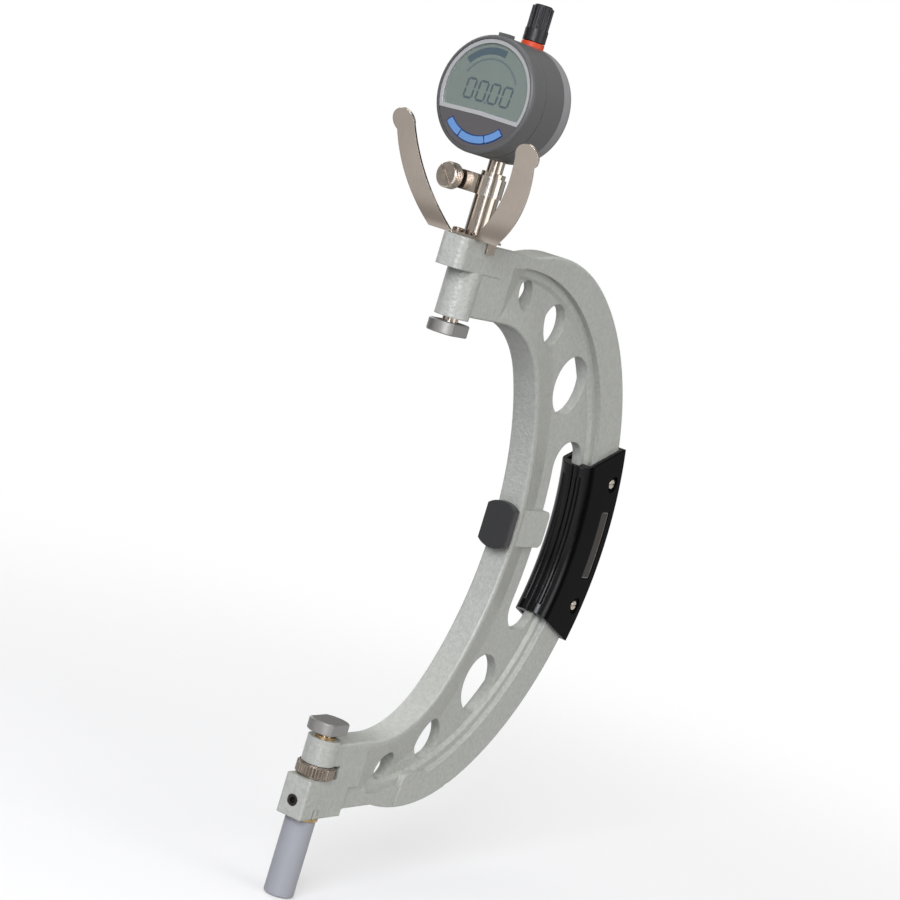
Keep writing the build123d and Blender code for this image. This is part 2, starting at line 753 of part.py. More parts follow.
for side, name in ((-1, "grip_front"), (1, "grip_rear")):
    near = side * grip_parting
    far = side * grip_half_thick
    with BuildPart() as grip:
        with BuildSketch(ring_plane(grip_turn + grip_half_angle)):
            with Locations(((grip_nose_radius + grip_back_radius) / 2, (near + far) / 2)):
                Rectangle(grip_back_radius - grip_nose_radius, abs(far - near))
            outside = vertices().filter_by(lambda v: abs(v.Y - far) < pick_slack)
            nose = outside.sort_by(lambda v: v.center().X)[0]
            back = outside.sort_by(lambda v: v.center().X)[-1]
            fillet(nose, radius=grip_nose_round)
            fillet(back, radius=grip_back_round)
            with Locations(((rim_start + outer_radius + grip_gap) / 2, 0)):
                Rectangle(
                    outer_radius + grip_gap - rim_start,
                    frame_thick + 2 * grip_gap,
                    mode=Mode.SUBTRACT,
                )
            with Locations(((web_start + rim_start) / 2, 0)):
                Rectangle(rim_start - web_start, web_thick + 2 * grip_gap, mode=Mode.SUBTRACT)
            with Locations((grip_nose_radius, 0)):
                Rectangle(grip_flute_radius, grip_flute_radius, rotation=45, mode=Mode.SUBTRACT)
        revolve(axis=grip_axis, revolution_arc=2 * grip_half_angle)
        with BuildSketch(ring_plane(grip_turn + grip_half_angle - grip_flute_end)):
            with Locations((nose_ring - flute_rise, side * grip_flute_y)):
                Circle(grip_flute_radius)
        revolve(
            axis=grip_axis,
            revolution_arc=2 * (grip_half_angle - grip_flute_end),
            mode=Mode.SUBTRACT,
        )
        with BuildSketch(Plane.XZ.offset(-far)):
            with Locations(grip_holes):
                Circle(grip_screw_radius + slot_gap)
        extrude(amount=side * grip_half_thick, mode=Mode.SUBTRACT)
        with BuildSketch(Plane.XZ.offset(-far)):
            with Locations(grip_holes):
                if side < 0:
                    Circle(grip_counterbore)
                else:
                    RegularPolygon(hex_radius(grip_nut_flats + 2 * grip_gap), 6)
        extrude(amount=side * grip_counter_depth, mode=Mode.SUBTRACT)
        if side < 0:
            with BuildSketch(Plane.XZ.offset(-far)):
                with BuildLine():
                    inner_ring = label_ring - label_width / 2
                    outer_ring = label_ring + label_width / 2
                    centre = (outer_centre_x, 0)
                    label_start = grip_turn - label_half_angle
                    inside = CenterArc(centre, inner_ring, label_start, 2 * label_half_angle)
                    outside = CenterArc(centre, outer_ring, label_start, 2 * label_half_angle)
                    Line(inside @ 0, outside @ 0)
                    Line(inside @ 1, outside @ 1)
                make_face()
            extrude(amount=-label_depth, mode=Mode.SUBTRACT)
    save(grip, name)

with BuildPart() as grip_screws:
    head_floor = grip_half_thick - grip_counter_depth
    with BuildSketch(Plane.XZ.offset(head_floor)):
        with Locations(grip_holes):
            Circle(grip_head_radius)
    extrude(amount=grip_head_height)
    fillet(grip_screws.faces().sort_by(Axis.Y)[0:2].edges(), radius=grip_head_round)
    with BuildSketch(Plane.XZ.offset(head_floor)):
        with Locations(grip_holes):
            Circle(grip_screw_radius)
    extrude(amount=-(2 * grip_half_thick - grip_counter_depth - slot_gap))
    with BuildSketch(Plane.XZ.offset(head_floor + grip_head_height)):
        with Locations(grip_holes):
            Rectangle(2 * grip_head_radius, screw_slot)
    extrude(amount=-grip_head_height / 2, mode=Mode.SUBTRACT)
save(grip_screws, "grip_screws")

with BuildPart() as grip_nuts:
    with BuildSketch(Plane.XZ.offset(-head_floor)):
        with Locations(grip_holes):
            RegularPolygon(hex_radius(grip_nut_flats), 6)
            Circle(grip_screw_radius + running, mode=Mode.SUBTRACT)
    extrude(amount=-grip_head_height)
save(grip_nuts, "grip_nuts")

# Split sleeve on the upper head, and the strap that clamps it
strap_out = Vector(cos(radians(strap_angle)), sin(radians(strap_angle)), 0)
strap_plane = Plane(origin=(0, 0, 0), x_dir=strap_out, z_dir=(0, 0, 1))
with BuildPart() as indicator_sleeve:
    with BuildSketch(Plane.XY.offset(head_top - sleeve_seat)):
        Circle(sleeve_radius)
        Circle(sleeve_bore + running, mode=Mode.SUBTRACT)
    extrude(amount=sleeve_top - head_top + sleeve_seat)
    with BuildSketch(strap_plane.offset(sleeve_top - sleeve_slit_length)):
        with Locations((sleeve_radius / 2, 0)):
            Rectangle(sleeve_radius, sleeve_slit)
    extrude(amount=sleeve_slit_length, mode=Mode.SUBTRACT)
save(indicator_sleeve, "indicator_sleeve")

strap_middle = strap_top - strap_height / 2
ear_plane = Plane(
    origin=strap_out * thumb_screw_reach + Vector(0, 0, strap_middle),
    x_dir=strap_out,
    z_dir=Vector(0, 0, 1).cross(strap_out),
)
with BuildPart() as clamp_strap:
    with BuildSketch(strap_plane.offset(strap_top - strap_height)):
        Circle(sleeve_radius + seat_gap + strap_thick)
        with Locations(((strap_reach + sleeve_radius) / 2, 0)):
            Rectangle(strap_reach - sleeve_radius, strap_gap + 2 * strap_thick)
        with Locations((strap_reach / 2, 0)):
            Rectangle(strap_reach, strap_gap, mode=Mode.SUBTRACT)
        Circle(sleeve_radius + seat_gap, mode=Mode.SUBTRACT)
    extrude(amount=strap_height)
    ear_ends = clamp_strap.edges().filter_by(
        lambda e: abs(e.length - strap_thick) < pick_slack
        and e.center().dot(strap_out) > strap_reach - pick_slack
    )
    fillet(ear_ends, radius=strap_round)
    with BuildSketch(ear_plane):
        Circle(thumb_screw_radius + 3 * running)
    extrude(amount=strap_gap + strap_thick, both=True, mode=Mode.SUBTRACT)
save(clamp_strap, "clamp_strap")

ear_face = strap_gap / 2 + strap_thick
ear_axis = Axis(ear_plane.origin, ear_plane.z_dir)
with BuildPart() as thumb_screw:
    with BuildSketch(ear_plane.offset(ear_face + running)):
        Circle(thumb_head_radius / 2)
    extrude(amount=thumb_collar)
    with BuildSketch(ear_plane.offset(ear_face + running + thumb_collar)):
        Circle(thumb_head_radius)
    extrude(amount=thumb_head_height)
    chamfer(thumb_screw.edges().group_by(ear_axis)[-1], length=thumb_edge)
    with BuildSketch(ear_plane.offset(ear_face + running + thumb_collar + thumb_head_height)):
        Rectangle(2 * thumb_head_radius, thumb_slot, rotation=thumb_slot_turn)
    extrude(amount=-thumb_slot_depth, mode=Mode.SUBTRACT)
    with BuildSketch(ear_plane.offset(ear_face + running)):
        Circle(thumb_screw_radius)
    extrude(amount=-(2 * ear_face + thumb_nut_height))
save(thumb_screw, "thumb_screw")

with BuildPart() as clamp_nut:
    with BuildSketch(ear_plane.offset(-ear_face)):
        RectangleRounded(thumb_nut_side, thumb_nut_side, running * 10)
        Circle(thumb_screw_radius + running, mode=Mode.SUBTRACT)
    extrude(amount=-thumb_nut_height)
save(clamp_nut, "clamp_nut")

# Guard bracket: plate on the head, two leaning arms and a tab beside the head
lean = radians(guard_lean)
arm_plane = Plane(
    origin=(-guard_front, 0, head_top), x_dir=(0, 1, 0), z_dir=(cos(lean), 0, sin(lean))
)
with BuildPart() as guard_bracket:
    with BuildSketch(Plane.XY.offset(head_top)):
        with Locations(((guard_back - guard_front) / 2, 0)):
            RectangleRounded(guard_front + guard_back, 2 * guard_half_width, guard_thick)
        with Locations((guard_front_depth / 2 - guard_front, 0)):
            RectangleRounded(guard_front_depth, 2 * guard_front_half, guard_thick)
    extrude(amount=guard_thick)
    with BuildSketch(arm_plane):
        with BuildLine():
            inside = ThreePointArc(
                (guard_foot[0], 0), (guard_waist[0], guard_waist_up[0]), (guard_end[0], guard_end_up[0])
            )
            outside = ThreePointArc(
                (guard_foot[1], 0), (guard_waist[1], guard_waist_up[1]), (guard_end[1], guard_end_up[1])
            )
            ThreePointArc(inside @ 1, guard_tip, outside @ 1)
            Line(inside @ 0, outside @ 0)
        make_face()
        mirror(about=Plane.YZ)
    extrude(amount=guard_thick)
    with BuildSketch(Plane.XY.offset(head_top - guard_tab_drop)):
        with Locations(
            (guard_tab_start + guard_tab_width / 2, -guard_half_width + guard_thick / 2)
        ):
            Rectangle(guard_tab_width, guard_thick)
    extrude(amount=guard_tab_drop + guard_thick)
    with BuildSketch(Plane.XY.offset(head_top)):
        Circle(sleeve_radius + slot_gap)
        with Locations(guard_holes):
            Circle(guard_screw_radius + 3 * running)
    extrude(amount=guard_thick, mode=Mode.SUBTRACT)
save(guard_bracket, "guard_bracket")

with BuildPart() as guard_screws:
    with BuildSketch(Plane.XY.offset(head_top + guard_thick)):
        with Locations(guard_holes):
            Circle(guard_screw_head)
    extrude(amount=guard_screw_head_height)
    fillet(guard_screws.edges().group_by(Axis.Z)[-1], radius=guard_screw_round)
    with BuildSketch(Plane.XY.offset(head_top + guard_thick)):
        with Locations(guard_holes):
            Circle(guard_screw_radius)
    extrude(amount=-(guard_screw_length + guard_thick - slot_gap))
    with BuildSketch(Plane.XY.offset(head_top + guard_thick + guard_screw_head_height)):
        with Locations(guard_holes):
            Rectangle(2 * guard_screw_head, screw_slot)
    extrude(amount=-guard_screw_head_height / 2, mode=Mode.SUBTRACT)
save(guard_screws, "guard_screws")

# Indicator case: a turning display unit in front, two fixed shells round the stem behind
case_bottom = case_centre_z - case_radius
case_top = case_centre_z + case_radius
seat_level = case_top - seal_seat
facing = Axis(ahead_of_stem(0).origin, ahead_of_stem(0).z_dir)


def shell_hollow():
    """Outline of the room inside the two fixed shells."""
    room = case_radius - case_wall
    with BuildSketch(mode=Mode.PRIVATE) as outline:
        Circle(room)
        for end in (-1, 1):
            with Locations((0, end * (case_radius - stem_seat / 2))):
                Rectangle(neck_block, stem_seat, mode=Mode.SUBTRACT)
        with PolarLocations(cover_screw_ring, 4, start_angle=45):
            Circle(cover_post_radius, mode=Mode.SUBTRACT)
        with PolarLocations((cover_screw_ring + case_radius) / 2, 4, start_angle=45):
            Rectangle(case_radius - cover_screw_ring, 2 * cover_post_radius, mode=Mode.SUBTRACT)
    return outline.sketch


def bore_case():
    """Rods that clear the stem below and the plunger's bush above."""
    with BuildPart(mode=Mode.PRIVATE) as rods:
        with BuildSketch(Plane.XY.offset(case_bottom - stem_seat)):
            Circle(stem_radius + seat_gap)
        extrude(amount=2 * stem_seat + slot_gap)
        with BuildSketch(Plane.XY.offset(seat_level - stem_seat)):
            Circle(top_bush_radius + seat_gap)
        extrude(amount=stem_seat)
        with BuildSketch(Plane.XY.offset(seat_level)):
            Circle(seal_radius + slot_gap)
        extrude(amount=stem_seat)
    return rods.part


with BuildPart() as main_case:
    with BuildSketch(ahead_of_stem(0)):
        Circle(case_radius)
    extrude(amount=case_joint - case_gap)
    with BuildSketch(ahead_of_stem(0)):
        add(shell_hollow())
    extrude(amount=case_joint - case_gap - case_wall, mode=Mode.SUBTRACT)
    with BuildSketch(ahead_of_stem(0)):
        Circle(hub_radius + running)
    extrude(amount=case_joint, mode=Mode.SUBTRACT)
    with BuildSketch(ahead_of_stem(0)):
        with PolarLocations(cover_screw_ring, 4, start_angle=45):
            Circle(cover_screw_radius + running)
    extrude(amount=cover_screw_depth + slot_gap, mode=Mode.SUBTRACT)
    add(bore_case(), mode=Mode.SUBTRACT)
save(main_case, "main_case")

with BuildPart() as rear_cover:
    with BuildSketch(ahead_of_stem(0)):
        Circle(case_radius)
    extrude(amount=-case_back)
    fillet(rear_cover.edges().group_by(facing)[0], radius=cover_round)
    with BuildSketch(ahead_of_stem(0)):
        add(shell_hollow())
    extrude(amount=case_wall - case_back, mode=Mode.SUBTRACT)
    with BuildSketch(ahead_of_stem(0)):
        with PolarLocations(cover_screw_ring, 4, start_angle=45):
            Circle(cover_screw_radius + running)
    extrude(amount=-case_back, mode=Mode.SUBTRACT)
    with BuildSketch(ahead_of_stem(-case_back)):
        with PolarLocations(cover_screw_ring, 4, start_angle=45):
            Circle(cover_screw_head + slot_gap)
    extrude(amount=case_wall, mode=Mode.SUBTRACT)
    add(bore_case(), mode=Mode.SUBTRACT)
save(rear_cover, "rear_cover")

with BuildPart() as cover_screws:
    with BuildSketch(ahead_of_stem(case_wall - case_back)):
        with PolarLocations(cover_screw_ring, 4, start_angle=45):
            Circle(cover_screw_head)
    extrude(amount=-cover_screw_head_height)
    with BuildSketch(ahead_of_stem(case_wall - case_back - cover_screw_head_height)):
        with PolarLocations(cover_screw_ring, 4, start_angle=45):
            Rectangle(screw_slot, cover_screw_head)
            Rectangle(cover_screw_head, screw_slot)
    extrude(amount=cover_screw_head_height / 2, mode=Mode.SUBTRACT)
    with BuildSketch(ahead_of_stem(case_wall - case_back)):
        with PolarLocations(cover_screw_ring, 4, start_angle=45):
            Circle(cover_screw_radius)
    extrude(amount=case_back - case_wall + cover_screw_depth)
save(cover_screws, "cover_screws")

with BuildPart() as stem:
    with BuildSketch(Plane.XY.offset(stem_bottom)):
        Circle(stem_radius)
        Circle(plunger_radius + running, mode=Mode.SUBTRACT)
    extrude(amount=case_bottom + stem_seat - stem_bottom)
    chamfer(stem.edges().group_by(Axis.Z)[0].sort_by(SortBy.RADIUS)[-1], length=screw_slot / 2)
save(stem, "stem")

with BuildPart() as top_bush:
    with BuildSketch(Plane.XY.offset(seat_level - stem_seat + seal_seat)):
        Circle(top_bush_radius)
        Circle(plunger_radius + running, mode=Mode.SUBTRACT)
    extrude(amount=stem_seat - seal_seat)
save(top_bush, "top_bush")

with BuildPart() as seal_ring:
    with BuildSketch(Plane.XY.offset(seat_level)):
        Circle(seal_radius)
        Circle(plunger_radius + slot_gap, mode=Mode.SUBTRACT)
    extrude(amount=seal_height)
    fillet(seal_ring.edges().group_by(Axis.Z)[-1].sort_by(SortBy.RADIUS)[-1], radius=button_round)
save(seal_ring, "seal_ring")

# Plunger, its contact point on the upper spindle and the lifting knob on top
knob_bottom = seat_level + seal_height + knob_lift
plunger_bottom = upper_spindle_top + contact_height
with BuildPart() as plunger:
    with BuildSketch(Plane.XY.offset(plunger_bottom)):
        Circle(plunger_radius)
    extrude(amount=knob_bottom + knob_plunger_in - plunger_bottom)
    with BuildSketch(Plane.XY.offset(plunger_bottom)):
        Circle(plunger_radius / 2 + seat_gap)
    extrude(amount=contact_socket + slot_gap, mode=Mode.SUBTRACT)
save(plunger, "plunger")

with BuildPart() as contact_point:
    with BuildSketch(Plane.XY.offset(upper_spindle_top)):
        Circle(contact_radius)
    extrude(amount=contact_height)
    fillet(contact_point.edges().group_by(Axis.Z)[0], radius=contact_round)
    with BuildSketch(Plane.XY.offset(plunger_bottom)):
        Circle(plunger_radius / 2)
    extrude(amount=contact_socket)
save(contact_point, "contact_point")

with BuildPart() as lifting_knob:
    with BuildSketch(Plane.XY.offset(knob_bottom)):
        Circle(seal_radius)
    extrude(amount=knob_skirt_height)
    with BuildSketch(Plane.XY.offset(knob_bottom + knob_skirt_height)):
        Circle(knob_radius)
    with BuildSketch(Plane.XY.offset(knob_bottom + knob_height)):
        Circle(knob_top_radius)
    loft()
    fillet(lifting_knob.edges().group_by(Axis.Z)[-1], radius=2 * button_round)
    with BuildSketch(Plane.XY.offset(knob_bottom)):
        Circle(plunger_radius + seat_gap)
    extrude(amount=knob_plunger_in + slot_gap, mode=Mode.SUBTRACT)
    with BuildSketch(Plane.XY.offset(knob_bottom + knob_skirt_height)):
        with PolarLocations(knob_radius, knob_ribs):
            Circle(knob_rib_radius)
    extrude(amount=knob_height - knob_skirt_height - 2 * button_round)
save(lifting_knob, "lifting_knob")

# Turning display unit
face_back = case_front - face_depth
face_level = case_front - face_sink
with BuildPart() as front_housing:
    with BuildSketch(ahead_of_stem(case_joint)):
        Circle(case_radius)
    extrude(amount=case_front - case_joint)
    fillet(front_housing.edges().group_by(facing)[-1], radius=case_round)
    with BuildSketch(ahead_of_stem(case_front - case_round - tab_depth)):
        with Locations((0, case_radius)):
            Rectangle(tab_width, 2 * tab_height)
    extrude(amount=tab_depth)
    with BuildSketch(ahead_of_stem(case_front)):
        Circle(face_radius)
    extrude(amount=-face_depth, mode=Mode.SUBTRACT)
    with BuildSketch(ahead_of_stem(face_back)):
        Circle(hollow_radius)
    extrude(amount=case_joint + case_wall - face_back, mode=Mode.SUBTRACT)
    with BuildSketch(ahead_of_stem(case_joint)):
        Circle(hub_radius)
    extrude(amount=-(case_gap + case_wall + seat_gap + hub_ring_thick))
    with BuildSketch(ahead_of_stem(case_joint - case_gap - case_wall - seat_gap)):
        Circle(hub_radius)
        Circle(hub_radius - face_sink, mode=Mode.SUBTRACT)
    extrude(amount=-hub_ring_thick, mode=Mode.SUBTRACT)
save(front_housing, "front_housing")

with BuildPart() as swivel_ring:
    with BuildSketch(ahead_of_stem(case_joint - case_gap - case_wall - running)):
        Circle(hub_ring_radius)
        Circle(hub_radius - face_sink + seat_gap, mode=Mode.SUBTRACT)
    extrude(amount=-hub_ring_thick)
save(swivel_ring, "swivel_ring")


def face_region(radius, above, inset):
    """The part of a disc above or below the bent line across the face."""
    low = display_low + (inset if above else -inset)
    far = case_radius if above else -case_radius
    with BuildSketch(mode=Mode.PRIVATE) as outline:
        with BuildLine():
            Polyline(
                (-case_radius, low),
                (0, low + display_peak),
                (case_radius, low),
                (case_radius, far),
                (-case_radius, far),
                close=True,
            )
        make_face()
        Circle(radius, mode=Mode.INTERSECT)
    return outline.sketch


def button_outline(name, grow):
    """Curved bar between two rings; it grows by this much on every side."""
    start, end = button_places[name]
    inner = button_inner - grow
    outer = button_outer + grow
    spread = degrees(grow / button_outer)
    with BuildSketch(mode=Mode.PRIVATE) as outline:
        with BuildLine():
            low = CenterArc((0, 0), inner, start - spread, end - start + 2 * spread)
            high = CenterArc((0, 0), outer, start - spread, end - start + 2 * spread)
            Line(low @ 0, high @ 0)
            Line(low @ 1, high @ 1)
        make_face()
        fillet(outline.vertices(), radius=button_round)
    return outline.sketch


rim_radius = face_radius - face_gap
window_radius = rim_radius - display_border
with BuildPart() as lcd_frame:
    with BuildSketch(ahead_of_stem(face_back)):
        add(face_region(rim_radius, True, 0))
        add(face_region(window_radius, True, display_border), mode=Mode.SUBTRACT)
    extrude(amount=face_level - face_back)
save(lcd_frame, "lcd_frame")

with BuildPart() as lcd_panel:
    with BuildSketch(ahead_of_stem(face_back + seat_gap)):
        add(face_region(window_radius - seat_gap, True, display_border + seat_gap))
    extrude(amount=face_level - window_sink - window_thick - face_back - 2 * seat_gap)
save(lcd_panel, "lcd_panel")

with BuildPart() as lcd_window:
    with BuildSketch(ahead_of_stem(face_level - window_sink - window_thick)):
        add(face_region(window_radius - seat_gap, True, display_border + seat_gap))
    extrude(amount=window_thick)
save(lcd_window, "lcd_window")

with BuildPart() as keypad_panel:
    with BuildSketch(ahead_of_stem(face_back)):
        add(face_region(rim_radius, False, face_gap))
        for name in button_places:
            add(button_outline(name, button_gap), mode=Mode.SUBTRACT)
    extrude(amount=face_level - face_back)
save(keypad_panel, "keypad_panel")

for name in button_places:
    with BuildPart() as button:
        with BuildSketch(ahead_of_stem(face_back + button_travel + running)):
            add(button_outline(name, 0))
        extrude(amount=face_level + button_stand - face_back - button_travel - running)
    save(button, f"button_{name}")

with BuildPart() as circuit_board:
    with BuildSketch(ahead_of_stem(face_back - board_thick)):
        Circle(hollow_radius - seat_gap)
    extrude(amount=board_thick)
save(circuit_board, "circuit_board")

with BuildPart() as battery:
    with BuildSketch(ahead_of_stem(face_back - board_thick - battery_thick)):
        Circle(battery_radius)
    extrude(amount=battery_thick)
save(battery, "battery")
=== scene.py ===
import bpy
import bmesh
import json
import math
from mathutils import Matrix, Vector


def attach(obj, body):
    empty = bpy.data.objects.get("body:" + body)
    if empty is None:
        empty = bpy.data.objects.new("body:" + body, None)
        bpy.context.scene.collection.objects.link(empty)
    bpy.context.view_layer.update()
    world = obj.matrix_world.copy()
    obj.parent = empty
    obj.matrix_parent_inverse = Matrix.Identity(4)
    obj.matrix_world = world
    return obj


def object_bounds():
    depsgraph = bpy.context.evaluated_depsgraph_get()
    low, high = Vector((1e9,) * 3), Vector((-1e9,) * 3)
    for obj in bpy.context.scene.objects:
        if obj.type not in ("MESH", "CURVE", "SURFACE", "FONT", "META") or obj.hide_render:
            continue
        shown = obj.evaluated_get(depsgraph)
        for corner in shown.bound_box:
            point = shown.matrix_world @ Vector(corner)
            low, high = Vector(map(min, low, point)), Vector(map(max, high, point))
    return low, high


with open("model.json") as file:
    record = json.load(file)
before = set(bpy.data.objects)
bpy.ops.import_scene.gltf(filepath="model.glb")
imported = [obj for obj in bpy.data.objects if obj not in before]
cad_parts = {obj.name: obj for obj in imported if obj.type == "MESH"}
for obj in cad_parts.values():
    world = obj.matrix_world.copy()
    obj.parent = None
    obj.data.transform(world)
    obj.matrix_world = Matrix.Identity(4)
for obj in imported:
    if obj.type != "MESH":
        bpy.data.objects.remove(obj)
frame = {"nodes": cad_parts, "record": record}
nodes = frame["nodes"]
cad_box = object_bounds()
MM = 0.001
NOISE_LOW, NOISE_HIGH = 0.3, 0.7  # most of a noise lies between these
EDGE_STARTS, EDGE_FULL = 0.995, 0.9  # cosine between the rounded and the flat normal
KNURL_FADE = 0.3  # length over which a knurl fades in and out, in mm
FRAME_COLOUR = (0.436, 0.445, 0.404)


# Materials
class Finish:
    """One procedural material, in the object's own coordinates, in metres."""

    def __init__(self, name, colour, metal=0.0, specular=0.5):
        self.mat = bpy.data.materials.new(name)
        self.mat.use_nodes = True
        self.tree = self.mat.node_tree
        self.shader = self.tree.nodes["Principled BSDF"]
        self.set(self.shader, "Base Color", (*colour, 1.0))
        self.set(self.shader, "Metallic", metal)
        self.set(self.shader, "Specular IOR Level", specular)
        self.colour = colour
        self.place = self.tree.nodes.new("ShaderNodeTexCoord").outputs["Object"]
        self.normal = None
        self.painted = None

    def set(self, node, key, value):
        node.inputs[key].default_value = value

    def make(self, kind, **values):
        node = self.tree.nodes.new("ShaderNode" + kind)
        for key, value in values.items():
            setattr(node, key, value)
        return node

    def feed(self, node, key, source):
        if hasattr(source, "node"):
            self.tree.links.new(source, node.inputs[key])
        else:
            node.inputs[key].default_value = source

    def stretch(self, scale):
        """The object's coordinates, scaled by a factor along each axis."""
        node = self.make("Mapping")
        self.feed(node, "Vector", self.place)
        self.set(node, "Scale", scale)
        return node.outputs["Vector"]

    def noise(self, scale, detail=3.0, rough=0.5, source=None):
        node = self.make("TexNoise")
        self.feed(node, "Vector", source or self.place)
        self.set(node, "Scale", scale)
        self.set(node, "Detail", detail)
        self.set(node, "Roughness", rough)
        return node.outputs["Fac"]

    def cells(self, scale, smooth):
        node = self.make("TexVoronoi", feature="SMOOTH_F1")
        self.feed(node, "Vector", self.place)
        self.set(node, "Scale", scale)
        self.set(node, "Smoothness", smooth)
        return node.outputs["Distance"]

    def math(self, operation, a, b=0.0, c=0.0):
        node = self.make("Math", operation=operation)
        for index, value in enumerate((a, b, c)):
            self.feed(node, index, value)
        return node.outputs[0]

    def times(self, a, b):
        return self.math("MULTIPLY", a, b)

    def size(self, value):
        return self.math("ABSOLUTE", value)

    def sum_of(self, a, share_a, b, share_b):
        """Two values added, each with its share."""
        return self.math("ADD", self.times(a, share_a), self.times(b, share_b))

    def length(self, a, b):
        """Length of a flat vector."""
        return self.math("SQRT", self.sum_of(a, a, b, b))

    def span(self, value, low, high, to_low=0.0, to_high=1.0):
        """Takes a value from one range smoothly to another."""
        node = self.make("MapRange", interpolation_type="SMOOTHSTEP")
        self.feed(node, "Value", value)
        self.feed(node, "From Min", low)
        self.feed(node, "From Max", high)
        self.feed(node, "To Min", to_low)
        self.feed(node, "To Max", to_high)
        return node.outputs["Result"]

    def over(self, value, limit, fade):
        """0 up to the limit, 1 beyond it."""
        return self.span(value, limit, limit + fade)

    def under(self, value, limit, fade):
        """1 up to the limit, 0 beyond it."""
        return self.span(value, limit, limit + fade, 1, 0)

    def mix(self, factor, a, b):
        node = self.make("Mix", data_type="RGBA")
        self.feed(node, 0, factor)
        for index, colour in ((6, a), (7, b)):
            self.feed(node, index, colour if hasattr(colour, "node") else (*colour, 1.0))
        return node.outputs[2]

    def shade(self, factor, low, high):
        """Base colour that varies between two shares of the plain one."""
        dark = tuple(c * low for c in self.colour)
        light = tuple(min(1.0, c * high) for c in self.colour)
        self.paint(self.mix(factor, dark, light))

    def paint(self, colour):
        self.painted = colour
        self.feed(self.shader, "Base Color", colour)

    def rough(self, value):
        self.feed(self.shader, "Roughness", value)

    def rough_by(self, noise, low, high):
        """Roughness that follows a noise, between these two values."""
        self.rough(self.span(noise, NOISE_LOW, NOISE_HIGH, low, high))

    def bump(self, height, depth_mm, strength=1.0):
        node = self.make("Bump")
        self.feed(node, "Height", height)
        self.set(node, "Distance", depth_mm * MM)
        self.set(node, "Strength", strength)
        if self.normal:
            self.feed(node, "Normal", self.normal)
        self.normal = node.outputs["Normal"]
        self.feed(self.shader, "Normal", self.normal)

    def edges(self, radius_mm):
        """Rounds the edges in the shading, and gives a mask that is 1 along them."""
        round_edge = self.make("Bevel", samples=6)
        self.set(round_edge, "Radius", radius_mm * MM)
        self.normal = round_edge.outputs["Normal"]
        self.feed(self.shader, "Normal", self.normal)
        match = self.make("VectorMath", operation="DOT_PRODUCT")
        self.feed(match, 0, self.normal)
        self.feed(match, 1, self.make("NewGeometry").outputs["Normal"])
        return self.span(match.outputs["Value"], EDGE_STARTS, EDGE_FULL)

    def along(self, origin, axis):
        """Distance along a line through this place, both in millimetres."""
        shift = self.make("VectorMath", operation="SUBTRACT")
        self.feed(shift, 0, self.place)
        self.feed(shift, 1, tuple(Vector(origin) * MM))
        dot = self.make("VectorMath", operation="DOT_PRODUCT")
        self.feed(dot, 0, shift.outputs[0])
        self.feed(dot, 1, tuple(Vector(axis) / MM))
        return dot.outputs["Value"]

    def polar(self, origin, first, second):
        """Angle from the first direction towards the second, and distance in millimetres."""
        a = self.along(origin, first)
        b = self.along(origin, second)
        return self.math("ARCTAN2", b, a), self.length(a, b)

    def knurl(self, turn, along, count, pitch, depth_mm):
        """Two crossing sets of grooves, each moving on by one groove over the pitch's length."""
        lean = self.times(along, 2 * math.pi / pitch)
        spin = self.times(turn, float(count))
        left = self.math("SINE", self.math("ADD", spin, lean))
        right = self.math("SINE", self.math("SUBTRACT", spin, lean))
        pattern = self.math("MULTIPLY_ADD", self.times(left, right), 0.5, 0.5)
        self.bump(pattern, depth_mm)
        return pattern


finishes = {}


def keep(slot_name, finish):
    finishes[slot_name] = finish.mat
    return finish


# Cast frame: hammertone enamel, finely pebbled, a little paler along its edges, partly from wear
# and partly as a painted highlight
f = keep("frame_paint", Finish("frame_enamel", FRAME_COLOUR))
edge_wear_and_highlight = f.edges(0.9)
pebble = f.cells(700, 0.5)
hammer = f.noise(430, 3, 0.55)
grain = f.noise(1500, 3, 0.6)
cloud = f.noise(22, 3, 0.5)
dents = f.span(hammer, NOISE_LOW, NOISE_HIGH)
f.shade(f.sum_of(dents, 0.7, cloud, 0.3), 0.89, 1.09)
# Paler edges: partly wear, partly a painted highlight along the edges
wear = f.times(edge_wear_and_highlight, f.span(f.noise(140, 4, 0.6), 0.35, 0.65))
f.paint(f.mix(f.times(wear, 0.45), f.painted, (0.57, 0.58, 0.545)))
f.bump(hammer, 0.38, 0.8)
f.bump(pebble, 0.22, 0.8)
f.bump(grain, 0.03, 0.5)
f.rough_by(grain, 0.28, 0.42)
f.set(f.shader, "Coat Weight", 0.22)
f.set(f.shader, "Coat Roughness", 0.25)

# Ground steel of the anvils
f = keep("anvil_steel", Finish("ground_steel", (0.30, 0.292, 0.278), 0.75))
f.edges(0.25)
lines = f.noise(900, 4, 0.65, f.stretch((1, 14, 1)))
speck = f.noise(2600, 2, 0.5)
f.shade(lines, 0.9, 1.1)
f.rough(f.span(f.math("ADD", lines, speck), 0.6, 1.4, 0.34, 0.5))
f.bump(lines, 0.01, 0.5)

# Hard chrome of the spindles, stem and sleeve
f = keep("spindle_chrome", Finish("hard_chrome", (0.46, 0.405, 0.35), 1.0))
f.edges(0.2)
turned = f.noise(700, 3, 0.6, f.stretch((0.25, 0.25, 9)))
f.rough_by(turned, 0.15, 0.22)
f.shade(f.noise(160, 3, 0.5), 0.95, 1.02)
f.bump(turned, 0.001, 0.3)


